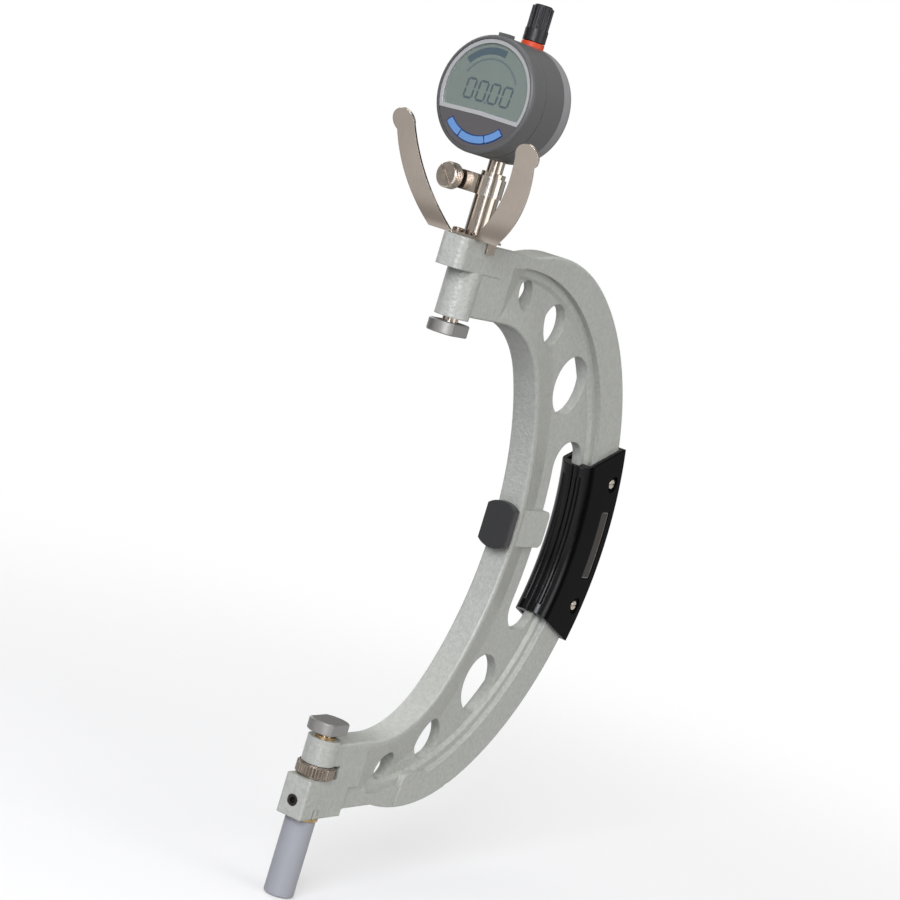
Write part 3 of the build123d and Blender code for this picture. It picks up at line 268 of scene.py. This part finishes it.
# Nickel of the adjusting nut and the thumb screw, both finely knurled
def nickel(name, colour, axes, origin, reach, start, end, count, pitch, depth_mm):
    """Nickel with a knurl from start to end along a turned piece of radius reach, in mm."""
    axis, first, second = axes
    finish = Finish(name, colour, 1.0)
    edge_wear_and_highlight = finish.edges(0.25)
    turn, radius = finish.polar(origin, first, second)
    along = finish.along(origin, axis)
    rise = finish.over(along, start, KNURL_FADE)
    fall = finish.under(along, end - KNURL_FADE, KNURL_FADE)
    outside = finish.over(radius, reach - 0.5, 0.2)
    band = finish.times(finish.times(rise, fall), outside)
    pattern = finish.knurl(turn, along, count, pitch, depth_mm)
    finish.feed(finish.normal.node, "Strength", band)
    wear = finish.noise(350, 4, 0.6)
    grooves = finish.span(pattern, 0.0, 1.0, 0.75, 1.0)
    finish.shade(finish.times(wear, grooves), 0.7, 1.25)
    # Paler along the edges: partly wear, partly a painted highlight
    finish.paint(finish.mix(finish.times(edge_wear_and_highlight, 0.4), finish.painted, (0.72, 0.66, 0.60)))
    finish.rough_by(wear, 0.24, 0.42)
    finish.bump(finish.noise(2200, 3, 0.5), 0.008, 0.5)
    return finish


NUT_AXES = (0, 0, 1), (1, 0, 0), (0, 1, 0)
NUT_MIDDLE = (0, 0, -125.9)
SCREW_AXES = (-0.984808, 0.173648, 0), (0, 0, 1), (0.173648, 0.984808, 0)
SCREW_FOOT = (3.820, 21.666, 173.9)
nut_nickel = nickel(
    "dull_nickel", (0.25, 0.21, 0.17), NUT_AXES, NUT_MIDDLE,
    reach=10.0, start=-2.6, end=2.6, count=90, pitch=60.0, depth_mm=0.007,
)
keep("nut_nickel", nut_nickel)
screw_nickel = nickel(
    "screw_nickel", (0.60, 0.53, 0.46), SCREW_AXES, SCREW_FOOT,
    reach=6.6, start=3.6, end=8.1, count=34, pitch=2.4, depth_mm=0.10,
)

# Turned brass
f = keep("bush_brass", Finish("turned_brass", (0.50, 0.35, 0.17), 1.0))
f.edges(0.15)
ring = f.noise(900, 3, 0.6, f.stretch((0.3, 0.3, 8)))
f.shade(ring, 0.85, 1.08)
f.rough_by(ring, 0.2, 0.36)

# Matte enamel of the cover tube, with the frame's paint on the strip inside the lower head
TUBE_SEAT = (0, 0, -149.8)
f = keep("tube_enamel", Finish("tube_enamel", (0.35, 0.358, 0.385)))
f.edges(0.3)
fine = f.noise(2400, 3, 0.6)
f.shade(f.sum_of(fine, 0.6, f.noise(60, 2, 0.5), 0.4), 0.95, 1.05)
seated = f.span(f.along(TUBE_SEAT, (0, 0, 1)), -0.05, 0.05)
f.paint(f.mix(seated, f.painted, FRAME_COLOUR))
f.bump(fine, 0.012, 0.5)
f.rough_by(fine, 0.42, 0.55)

# Black oxide on the set screws
f = keep("black_steel", Finish("black_oxide", (0.035, 0.032, 0.03), 0.9))
f.edges(0.2)
oxide = f.noise(1200, 3, 0.6)
f.shade(oxide, 0.6, 1.5)
f.rough_by(oxide, 0.2, 0.38)

# Tarnished nickel on the guard's screws
guard_screw = Finish("tarnished_screw", (0.27, 0.215, 0.17), 1.0)
edge_wear_and_highlight = guard_screw.edges(0.3)
guard_screw.shade(guard_screw.noise(900, 3, 0.6), 0.6, 1.3)
# Paler along the edges: partly wear, partly a painted highlight
rubbed_and_highlit_edges = guard_screw.mix(guard_screw.times(edge_wear_and_highlight, 0.8), guard_screw.painted, (0.75, 0.68, 0.60))
guard_screw.paint(rubbed_and_highlit_edges)
guard_screw.rough_by(guard_screw.noise(1400, 2, 0.5), 0.16, 0.3)

# Bright nickel on the bent guard, with painted shade in its bend, and paler along its edges,
# partly from wear and partly as a painted highlight
GUARD_PLATE = (0, 0, 148.1)
f = keep("guard_nickel", Finish("bright_nickel", (0.44, 0.385, 0.33), 1.0))
edge_wear_and_highlight = f.edges(0.25)
rolled = f.noise(260, 3, 0.55, f.stretch((1, 8, 1)))
cloud = f.noise(38, 2, 0.5)
height = f.along(GUARD_PLATE, (0, 0, 1))
# Painted shade: darker in the bend, where the sheet turns down from the plate
painted_bend_shade = f.times(f.over(height, 0.5, 3.5), f.under(height, 5.0, 9.0))
f.shade(cloud, 0.85, 1.12)
plain = f.mix(f.times(painted_bend_shade, 0.7), f.painted, (0.20, 0.165, 0.135))
# Paler along the edges: partly wear, partly a painted highlight
f.paint(f.mix(f.times(edge_wear_and_highlight, 0.6), plain, (0.82, 0.78, 0.73)))
f.rough_by(rolled, 0.16, 0.27)
f.bump(rolled, 0.006, 0.3)

# Plated steel of the strap
f = keep("strap_chrome", Finish("plated_strap", (0.52, 0.47, 0.42), 1.0))
f.edges(0.15)
turned = f.noise(500, 3, 0.6, f.stretch((0.4, 0.4, 7)))
f.shade(turned, 0.9, 1.06)
f.rough_by(turned, 0.12, 0.26)

# Gloss moulding of the grip, with a bare brown-grey plate in the recess of its front half
GRIP_AXIS = (63.7, 0, 0)
GRIP_RADIUS = 146.7
GRIP_TURN = math.radians(0.75)
PLATE_DEPTH = 9.6
PLATE_LONG, PLATE_WIDE = 19.7, 4.4  # half sizes in mm, like the border's
BORDER_INNER_LONG, BORDER_INNER_WIDE = 18.9, 3.6
BORDER_OUTER_LONG, BORDER_OUTER_WIDE = 19.3, 4.0
f = keep("grip_gloss", Finish("grip_moulding", (0.0025, 0.0025, 0.003)))
f.edges(0.8)
mould = f.noise(520, 3, 0.5)
depth = f.along((0, 0, 0), (0, -1, 0))
# Painted shade: the flat sides get almost no reflection and stay dark, while the rounded nose
# keeps its gloss
f.feed(f.shader, "Specular IOR Level", f.span(f.size(depth), 8.6, 9.7, 0.28, 0.015))
turn, radius = f.polar(GRIP_AXIS, (1, 0, 0), (0, 0, 1))
swing = f.size(f.times(f.math("ADD", turn, GRIP_TURN), radius))
ring_off = f.size(f.math("SUBTRACT", radius, GRIP_RADIUS))
on_plate = f.times(f.over(depth, PLATE_DEPTH, 0.05), f.under(depth, PLATE_DEPTH + 0.15, 0.05))
on_plate = f.times(on_plate, f.under(swing, PLATE_LONG, 0.05))
on_plate = f.times(on_plate, f.under(ring_off, PLATE_WIDE, 0.05))
past_inner = (f.over(swing, BORDER_INNER_LONG, 0.1), f.over(ring_off, BORDER_INNER_WIDE, 0.1))
in_outer = (f.under(swing, BORDER_OUTER_LONG, 0.1), f.under(ring_off, BORDER_OUTER_WIDE, 0.1))
border = f.times(f.math("MAXIMUM", *past_inner), f.times(*in_outer))
f.shade(f.noise(140, 3, 0.5), 0.8, 1.25)
plate_colour = f.mix(border, (0.075, 0.068, 0.062), (0.26, 0.25, 0.235))
f.paint(f.mix(on_plate, f.painted, plate_colour))
f.rough_by(mould, 0.17, 0.25)
f.bump(mould, 0.012, 0.25)

# Plated small screws
f = keep("screw_steel", Finish("plated_screw", (0.60, 0.54, 0.46), 1.0))
f.edges(0.15)
f.shade(f.noise(800, 3, 0.6), 0.8, 1.1)
f.rough_by(f.noise(600, 3, 0.5), 0.24, 0.4)

# Black pad of the back stop
f = keep("stop_black", Finish("stop_pad", (0.026, 0.026, 0.027), 0.0, 0.35))
f.edges(0.3)
f.shade(f.noise(700, 3, 0.5), 0.85, 1.15)
f.rough_by(f.noise(1600, 3, 0.6), 0.28, 0.4)
f.bump(f.noise(2200, 2, 0.5), 0.006, 0.5)


def moulded(slot_name, name, colour, rough, depth=0.02):
    """Finely grained moulding."""
    finish = keep(slot_name, Finish(name, colour, 0.0, 0.4))
    finish.edges(0.25)
    spark = finish.noise(2400, 2, 0.55)
    cloud = finish.noise(90, 3, 0.5)
    finish.shade(finish.sum_of(spark, 0.6, cloud, 0.4), 0.9, 1.1)
    finish.bump(spark, depth, 0.45)
    finish.rough_by(spark, rough - 0.06, rough + 0.06)
    return finish


moulded("housing_plastic", "housing_moulding", (0.098, 0.098, 0.098), 0.42)
moulded("cover_plastic", "cover_moulding", (0.235, 0.235, 0.235), 0.46)
moulded("knob_black", "knob_moulding", (0.010, 0.0095, 0.0115), 0.38, 0.015)
moulded("seal_orange", "seal_ring", (0.58, 0.055, 0.014), 0.5, 0.01)
moulded("board_green", "board_lacquer", (0.02, 0.12, 0.05), 0.3, 0.01)
can = moulded("battery_steel", "battery_can", (0.6, 0.6, 0.58), 0.3, 0.004)
can.set(can.shader, "Metallic", 1.0)

# Silver-lacquered frame round the display
f = keep("silver_plastic", Finish("silver_lacquer", (0.50, 0.50, 0.50), 0.35))
f.edges(0.3)
flake = f.noise(5000, 2, 0.5)
f.shade(flake, 0.92, 1.08)
f.rough_by(flake, 0.25, 0.36)

# Clear window over the display
f = keep("window_clear", Finish("clear_window", (0.55, 0.62, 0.58), 0.0, 0.3))
f.set(f.shader, "Alpha", 0.07)
smear = f.noise(60, 3, 0.5)
f.rough_by(smear, 0.03, 0.1)

# Greenish display glass
f = keep("lcd_green", Finish("display_green", (0.15, 0.185, 0.16), 0.0, 0.25))
f.shade(f.noise(35, 2, 0.5), 0.94, 1.04)
f.rough_by(f.noise(900, 2, 0.5), 0.18, 0.28)

# Face geometry of the turned indicator
TURN = math.radians(180 - 6.5)
OUT = Vector((math.cos(TURN), math.sin(TURN), 0))
UP = Vector((0, 0, 1))
RIGHT = UP.cross(OUT)
CENTRE = Vector((0, 0, 215.3)) * MM


def face_axes(finish):
    """Position on the indicator's face, in millimetres: right and up from its middle."""
    shift = finish.make("VectorMath", operation="SUBTRACT")
    finish.feed(shift, 0, finish.place)
    finish.feed(shift, 1, tuple(CENTRE))
    out = []
    for axis in (RIGHT, UP):
        dot = finish.make("VectorMath", operation="DOT_PRODUCT")
        finish.feed(dot, 0, shift.outputs[0])
        finish.feed(dot, 1, tuple(axis / MM))
        out.append(dot.outputs["Value"])
    return out


# Keypad: grey sheet with a dark blue band under the three buttons
BAND_RADIUS, BAND_HALF = 22.0, 2.25
BAND_TURN = 0.812  # half of its length, in radians
f = keep("keypad_grey", Finish("keypad_sheet", (0.095, 0.088, 0.09)))
across, above = face_axes(f)
band_off = f.size(f.math("SUBTRACT", f.length(across, above), BAND_RADIUS))
swing = f.size(f.math("ARCTAN2", across, f.times(above, -1.0)))
band = f.times(f.under(band_off, BAND_HALF, 0.1), f.under(swing, BAND_TURN, 0.008))
sheet = f.noise(2600, 2, 0.5)
plain = f.mix(sheet, (0.085, 0.079, 0.081), (0.107, 0.099, 0.101))
f.paint(f.mix(band, plain, (0.012, 0.04, 0.15)))
f.rough_by(sheet, 0.3, 0.42)
f.bump(sheet, 0.006, 0.4)

f = keep("button_blue", Finish("button_cap", (0.13, 0.275, 0.55)))
f.edges(0.3)
f.shade(f.noise(700, 3, 0.5), 0.92, 1.06)
f.rough_by(f.noise(2400, 2, 0.5), 0.26, 0.38)
f.bump(f.noise(2400, 2, 0.5), 0.006, 0.4)

ink = Finish("display_ink", (0.008, 0.03, 0.05))
ink.shade(ink.noise(400, 2, 0.5), 0.85, 1.15)
ink.rough(0.3)
pale_ink = Finish("display_arc", (0.006, 0.035, 0.065))
pale_ink.shade(pale_ink.noise(400, 2, 0.5), 0.85, 1.15)
pale_ink.rough(0.3)

special = {"thumb_screw": screw_nickel.mat, "guard_screws": guard_screw.mat}
for entry in frame["record"]["subparts"]:
    piece = nodes[entry["node"]]
    if len(piece.data.materials) > 1:
        piece.data.materials.clear()
    wanted = special.get(entry["node"], finishes[entry["material_slot"]])
    if len(piece.data.materials) == 0:
        piece.data.materials.append(wanted)
    for place in piece.material_slots:
        place.material = wanted


# Display
def on_face(x, y, depth):
    """Point on the indicator: right, up, and out of its face, in millimetres."""
    return CENTRE + (RIGHT * x + UP * y + OUT * depth) * MM


def plate(name, outlines, near, far, material, body):
    """Thin raised shapes on the face, each a closed outline in millimetres."""
    mesh = bmesh.new()
    for outline in outlines:
        low = [mesh.verts.new(on_face(x, y, near)) for x, y in outline]
        high = [mesh.verts.new(on_face(x, y, far)) for x, y in outline]
        mesh.faces.new(list(reversed(low)))
        mesh.faces.new(high)
        for index in range(len(outline)):
            after = (index + 1) % len(outline)
            mesh.faces.new((low[index], low[after], high[after], high[index]))
    bmesh.ops.recalc_face_normals(mesh, faces=mesh.faces)
    data = bpy.data.meshes.new(name)
    mesh.to_mesh(data)
    mesh.free()
    piece = bpy.data.objects.new(name, data)
    bpy.context.scene.collection.objects.link(piece)
    data.materials.append(material)
    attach(piece, body)


def arc_bar(inner, outer, start, end, steps):
    """Outline of a curved bar, angles in degrees from the right."""
    turns = [math.radians(start + (end - start) * k / steps) for k in range(steps + 1)]
    far = [(outer * math.cos(t), outer * math.sin(t)) for t in turns]
    near = [(inner * math.cos(t), inner * math.sin(t)) for t in reversed(turns)]
    return far + near


FIGURE_WIDTH, FIGURE_HEIGHT, BAR_THICK = 4.9, 9.4, 1.15
FIGURE_SLANT = 0.08


def zero(x, y):
    """Outlines of the six bars of a slanted 0, with its lower left corner at this place."""
    wide, tall, half = FIGURE_WIDTH, FIGURE_HEIGHT, FIGURE_HEIGHT / 2
    bars = (
        (0, tall, wide, tall),
        (wide, tall, wide, half),
        (wide, half, wide, 0),
        (0, 0, wide, 0),
        (0, half, 0, 0),
        (0, tall, 0, half),
    )
    near = BAR_THICK * 0.12
    cut = BAR_THICK / 2
    out = []
    for x1, y1, x2, y2 in bars:
        length = math.hypot(x2 - x1, y2 - y1)
        dx, dy = (x2 - x1) / length, (y2 - y1) / length
        far = length - near
        outline = (
            (near, 0), (near + cut, cut), (far - cut, cut),
            (far, 0), (far - cut, -cut), (near + cut, -cut),
        )
        shape = []
        for along, aside in outline:
            sx = x1 + dx * along - dy * aside
            sy = y1 + dy * along + dx * aside
            shape.append((x + sx + FIGURE_SLANT * sy, y + sy))
        out.append(shape)
    return out


PANEL = 23.78
INK_NEAR, INK_FAR = PANEL + 0.004, PANEL + 0.012
FIGURES, FIGURE_LEFT, FIGURE_FOOT, FIGURE_PITCH = 4, -13.2, -3.6, 7.4
TICK_INNER, TICK_OUTER = 16.6, 17.5
TICKS, TICK_START, TICK_SWING, TICK_HALF = 41, 150, 120, 0.9  # angles in degrees

figures = []
for index in range(FIGURES):
    figures += zero(FIGURE_LEFT + index * FIGURE_PITCH, FIGURE_FOOT)
figures.append([(-0.05, -4.3), (0.85, -4.3), (0.95, -3.4), (0.05, -3.4)])  # decimal point
ticks = []
for index in range(TICKS):
    middle = TICK_START - TICK_SWING * index / (TICKS - 1)
    ends = middle - TICK_HALF, middle + TICK_HALF
    ticks.append(arc_bar(TICK_INNER, TICK_OUTER, *ends, steps=2))
bar = [arc_bar(inner=19.2, outer=22.7, start=76, end=140, steps=16)]
for name, outlines, material in (
    ("display_figures", figures, ink.mat),
    ("display_scale", ticks, pale_ink.mat),
    ("display_bar", bar, pale_ink.mat),
):
    plate(name, outlines, INK_NEAR, INK_FAR, material, "display_unit")

# Stage
FLOOR_REACH = 6.0
FLOOR_DROP = 0.4 * MM
lowest = cad_box[0][2]
corners = [(x * FLOOR_REACH, y * FLOOR_REACH, 0) for x, y in ((-1, -1), (1, -1), (1, 1), (-1, 1))]
floor_mesh = bpy.data.meshes.new("floor")
floor_mesh.from_pydata(corners, [], [(0, 1, 2, 3)])
floor = bpy.data.objects.new("floor", floor_mesh)
floor.location = (0, 0, lowest - FLOOR_DROP)
bpy.context.scene.collection.objects.link(floor)


def wire(tree, kind, **inputs):
    """A shader node with some inputs, named or numbered, fed by values or by other outputs."""
    node = tree.nodes.new("ShaderNode" + kind)
    for key, value in inputs.items():
        if hasattr(node, key):
            setattr(node, key, value)
            continue
        number = key[1:]
        socket = node.inputs[int(number) if number.isdigit() else key.replace("_", " ")]
        if hasattr(value, "node"):
            tree.links.new(value, socket)
        else:
            socket.default_value = value
    return node


def calc(tree, operation, *values):
    numbered = {f"i{index}": value for index, value in enumerate(values)}
    return wire(tree, "Math", operation=operation, **numbered).outputs[0]


def ramp(tree, value, low, high, to_low, to_high):
    """Takes a value from one range smoothly to another."""
    node = wire(
        tree, "MapRange", interpolation_type="SMOOTHSTEP",
        Value=value, From_Min=low, From_Max=high, To_Min=to_low, To_Max=to_high,
    )
    return node.outputs["Result"]


PANEL_COUNT, PANEL_TURN = 4.0, -2.65  # turns in radians
PANEL_FROM, PANEL_FULL = -0.6, 0.3  # a panel's edge, as a share of the wave
PANEL_DARK, PANEL_LIGHT = 0.06, 0.8
STRIP_TURN, STRIP_INNER, STRIP_OUTER = 2.72, 0.04, 0.12
STRIP_LIGHT = 5.0


def walls_at(tree, heading):
    """Brightness of the studio's walls in this direction.

    Four pale panels with four dark gaps, and one bright strip that only reflections show.
    """
    turn = calc(tree, "ARCTAN2", heading[1], heading[0])
    wave = calc(tree, "SINE", calc(tree, "MULTIPLY_ADD", turn, PANEL_COUNT, PANEL_TURN))
    panels = ramp(tree, wave, PANEL_FROM, PANEL_FULL, PANEL_DARK, PANEL_LIGHT)
    aside = calc(tree, "ABSOLUTE", calc(tree, "ADD", turn, STRIP_TURN))
    strip = ramp(tree, aside, STRIP_INNER, STRIP_OUTER, STRIP_LIGHT, 0.0)
    in_reflection = wire(tree, "LightPath").outputs["Is Glossy Ray"]
    return calc(tree, "ADD", panels, calc(tree, "MULTIPLY", strip, in_reflection))


# The floor is pale, and fades into white light away from the part, so that it shows no edge.
# Only camera and glossy rays see it like that: for other rays it is a dark grey.
FLOOR_PALE, FLOOR_DARK = 0.86, 0.2
GLOW_FROM, GLOW_FULL, GLOW_NEAR = 0.25, 0.9, 0.3  # two distances in metres, and a share
floor_mat = bpy.data.materials.new("pale_floor")
floor_mat.use_nodes = True
tree = floor_mat.node_tree
shader = tree.nodes["Principled BSDF"]
shader.inputs["Roughness"].default_value = 0.9
rays = wire(tree, "LightPath").outputs
plain_ray = calc(tree, "MAXIMUM", rays["Is Camera Ray"], rays["Is Glossy Ray"])
albedo = wire(tree, "MapRange", Value=plain_ray, To_Min=FLOOR_DARK, To_Max=FLOOR_PALE).outputs[0]
grey = wire(tree, "CombineColor", Red=albedo, Green=albedo, Blue=albedo).outputs[0]
tree.links.new(grey, shader.inputs["Base Color"])
where = wire(tree, "TexCoord").outputs["Object"]
around = wire(tree, "SeparateXYZ", Vector=where).outputs
walls = walls_at(tree, around)
light = wire(tree, "MapRange", Value=rays["Is Glossy Ray"], To_Min=1.0, To_Max=walls).outputs[0]
far_off = wire(tree, "VectorMath", operation="LENGTH", i0=where).outputs["Value"]
fade = ramp(tree, far_off, GLOW_FROM, GLOW_FULL, GLOW_NEAR, 1.0)
glow = wire(tree, "Emission", Strength=light)
glow_share = calc(tree, "MULTIPLY", fade, plain_ray)
blend = wire(tree, "MixShader", i0=glow_share, i1=shader.outputs[0], i2=glow.outputs[0])
tree.links.new(blend.outputs[0], tree.nodes["Material Output"].inputs["Surface"])
floor_mesh.materials.append(floor_mat)

# World: the studio's walls and ceiling light the part, and the camera sees plain white
CEILING_LIGHT = 0.75
CEILING_FROM, CEILING_FULL = 0.25, 0.75  # upward part of the direction
WORLD_STRENGTH = 0.6
world = bpy.data.worlds.new("studio")
bpy.context.scene.world = world
world.use_nodes = True
tree = world.node_tree
tree.nodes.clear()
heading = wire(tree, "SeparateXYZ", Vector=wire(tree, "TexCoord").outputs["Generated"]).outputs
walls = walls_at(tree, heading)
sky = ramp(tree, heading[2], CEILING_FROM, CEILING_FULL, 0.0, 1.0)
light = wire(tree, "Mix", data_type="FLOAT", i0=sky, i2=walls, i3=CEILING_LIGHT).outputs[0]
strength = calc(tree, "MULTIPLY", light, WORLD_STRENGTH)
lit = wire(tree, "Background", Color=(1.0, 0.99, 0.975, 1), Strength=strength)
white = wire(tree, "Background", Color=(1, 1, 1, 1), Strength=1.0)
rays = wire(tree, "LightPath").outputs
seen = calc(tree, "MAXIMUM", rays["Is Camera Ray"], rays["Is Transmission Ray"])
choose = wire(tree, "MixShader", i0=seen, i1=lit.outputs[0], i2=white.outputs[0])
out = wire(tree, "OutputWorld")
tree.links.new(choose.outputs[0], out.inputs["Surface"])

# Camera
AZ = math.radians(-60.5)
EL = math.radians(6.42)
ROLL = math.radians(16.8)
DISTANCE = 1250.5 * MM
LOOK = Vector((37.05, 0, 42.38)) * MM
back = Vector((math.sin(AZ) * math.cos(EL), -math.cos(AZ) * math.cos(EL), math.sin(EL)))
level = Vector((math.cos(AZ), math.sin(AZ), 0))
rise = back.cross(level)
side = level * math.cos(ROLL) + rise * math.sin(ROLL)
top = rise * math.cos(ROLL) - level * math.sin(ROLL)
camera_data = bpy.data.cameras.new("camera")
camera_data.sensor_width = 36
camera_data.lens = 99.65
camera_data.clip_start = 0.01
camera = bpy.data.objects.new("camera", camera_data)
bpy.context.scene.collection.objects.link(camera)
eye = LOOK + back * DISTANCE
camera.matrix_world = Matrix((
    (side.x, top.x, back.x, eye.x),
    (side.y, top.y, back.y, eye.y),
    (side.z, top.z, back.z, eye.z),
    (0, 0, 0, 1),
))
bpy.context.scene.camera = camera

LAMP_TARGET = Vector((0.06, 0, 0.03))


def lamp(name, place, size, power, colour=(1, 1, 1)):
    """Area lamp that points at the middle of the part; places and sizes in metres."""
    data = bpy.data.lights.new(name, "AREA")
    data.shape = "RECTANGLE"
    data.size, data.size_y = size
    data.energy = power
    data.color = colour
    obj = bpy.data.objects.new(name, data)
    bpy.context.scene.collection.objects.link(obj)
    obj.location = place
    aim = LAMP_TARGET - Vector(place)
    obj.rotation_euler = aim.to_track_quat("-Z", "Y").to_euler()


lamp("key", (-1.73, -0.5, 0.8), (1.0, 1.0), 36, (0.965, 0.98, 1.06))
lamp("fill", (0.2, -1.9, 0.5), (1.2, 1.2), 12)
lamp("overhead", (0.1, 0.1, 1.6), (1.2, 1.2), 6)
lamp("far", (0.8, 1.6, 0.9), (1.2, 1.2), 9)

bpy.context.scene.view_settings.view_transform = "Standard"
